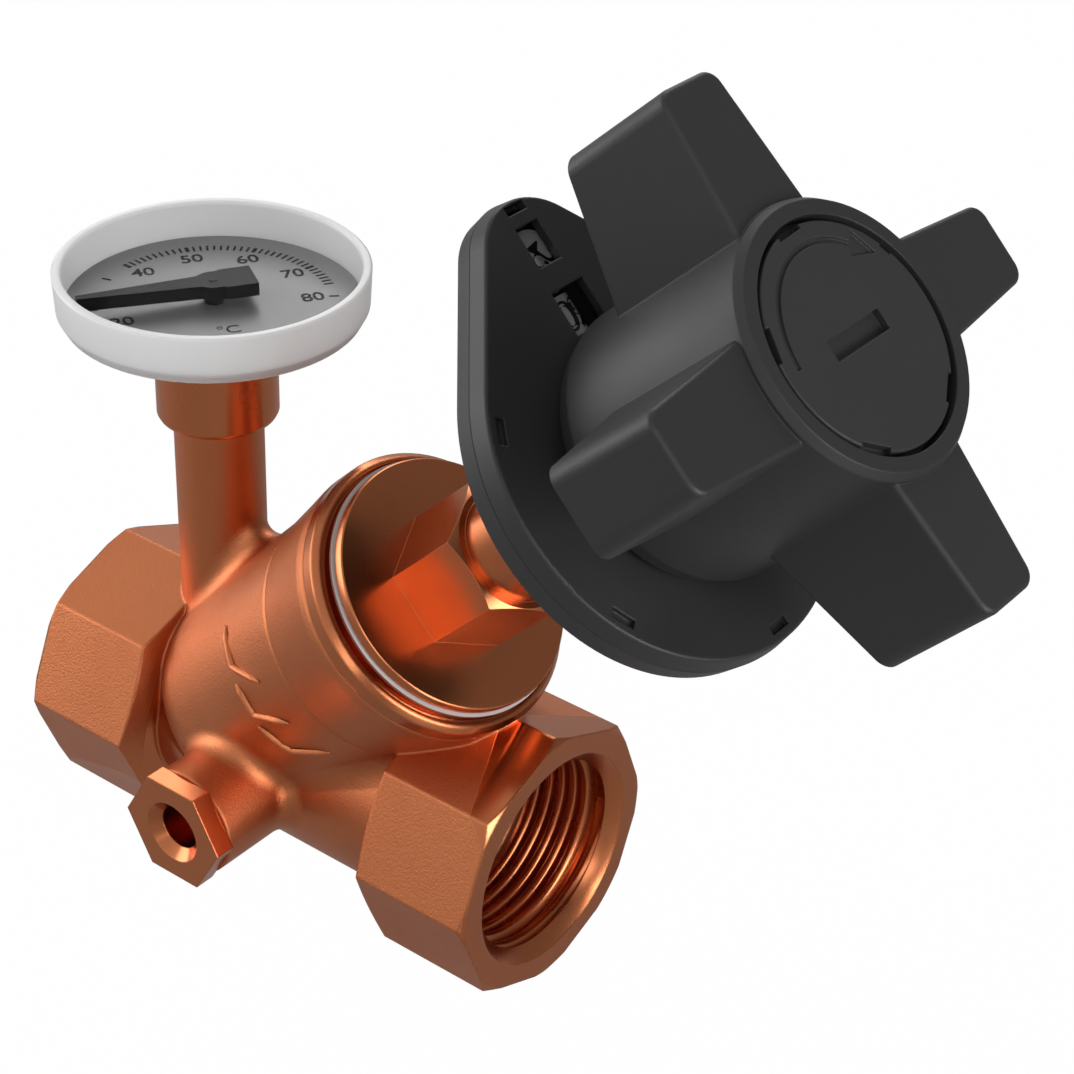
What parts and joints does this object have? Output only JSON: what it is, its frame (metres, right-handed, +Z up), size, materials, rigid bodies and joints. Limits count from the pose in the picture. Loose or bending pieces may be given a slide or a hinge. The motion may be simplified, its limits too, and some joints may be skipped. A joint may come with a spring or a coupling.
{
  "type": "circulation regulating valve",
  "caption": "Oblique-pattern bronze regulating valve with threaded ends, dial thermometer on a stem, drain plug and a four-armed handwheel over a travel counter.",
  "frame": {"origin": "the middle of the inlet thread, on the pipe axis", "axes": "+X along the pipe in the way of flow, +Z up along the thermometer stem; the bonnet leans 45 degrees from +X to +Z"},
  "size_m": [0.1571, 0.0754, 0.1502],
  "materials": {
    "cast_bronze": "satin, fine cast grain",
    "turned_bronze": "turned, satin",
    "grey_seal": "smooth",
    "spindle_brass": "turned",
    "rubber_seal": "smooth",
    "steel": "bright",
    "black_plastic": "satin moulded",
    "number_wheels": "satin",
    "white_plastic": "milky, slightly translucent",
    "dial_grey": "satin",
    "black_metal": "satin",
    "clear_window": "clear"
  },
  "bodies": {
    "valve": {"valve_body": "cast_bronze", "drain_plug": "turned_bronze", "bonnet": "turned_bronze", "bonnet_gasket": "grey_seal", "spindle_seals": "rubber_seal", "thrust_clip": "steel", "indicator_base": "black_plastic", "indicator_cover": "black_plastic", "disc_pin": "steel", "dial_cup": "white_plastic", "dial_collar": "turned_bronze", "dial_plate": "dial_grey", "dial_post": "black_metal", "dial_window": "clear_window", "probe_tube": "spindle_brass", "probe_coil": "steel"},
    "hand": {"handwheel": "black_plastic", "handwheel_cap": "black_plastic", "handwheel_screw": "steel", "drive_ring": "black_plastic", "spindle": "spindle_brass"},
    "plug": {"regulating_plug": "spindle_brass", "plug_seal": "rubber_seal"},
    "drum": {"tenths_drum": "number_wheels"},
    "disc": {"turns_disc": "number_wheels"},
    "pointer": {"dial_pointer": "black_metal", "pointer_arbor": "steel"}
  },
  "joints": [
    {"name": "handwheel_turn", "type": "hinge", "parent": "valve", "child": "hand", "pos_m": [0.10425, 0, 0.08485], "axis": [0.7071, 0, 0.7071], "range_deg": [-1441, 1441]},
    {"name": "plug_lift", "type": "slide", "parent": "valve", "child": "plug", "axis": [0.7071, 0, 0.7071], "range_m": [-0.006, 0.006]},
    {"name": "tenths_turn", "type": "hinge", "parent": "valve", "child": "drum", "pos_m": [0.07668, 0, 0.08839], "axis": [-0.7071, 0, 0.7071], "range_deg": [-1441, 1441]},
    {"name": "turns_turn", "type": "hinge", "parent": "valve", "child": "disc", "pos_m": [0.07265, 0.0009, 0.09595], "axis": [0.7071, 0, 0.7071], "range_deg": [-145, 145]},
    {"name": "pointer_turn", "type": "hinge", "parent": "valve", "child": "pointer", "pos_m": [0.0138, 0, 0.0746], "axis": [0, 0, 1], "range_deg": [-192, 10]}
  ],
  "couplings": [
    {"joint": "handwheel_turn", "follows": "plug_lift", "rad_per_m": 4188.8},
    {"joint": "tenths_turn", "follows": "plug_lift", "rad_per_m": -4188.8},
    {"joint": "turns_turn", "follows": "plug_lift", "rad_per_m": -418.88}
  ]
}
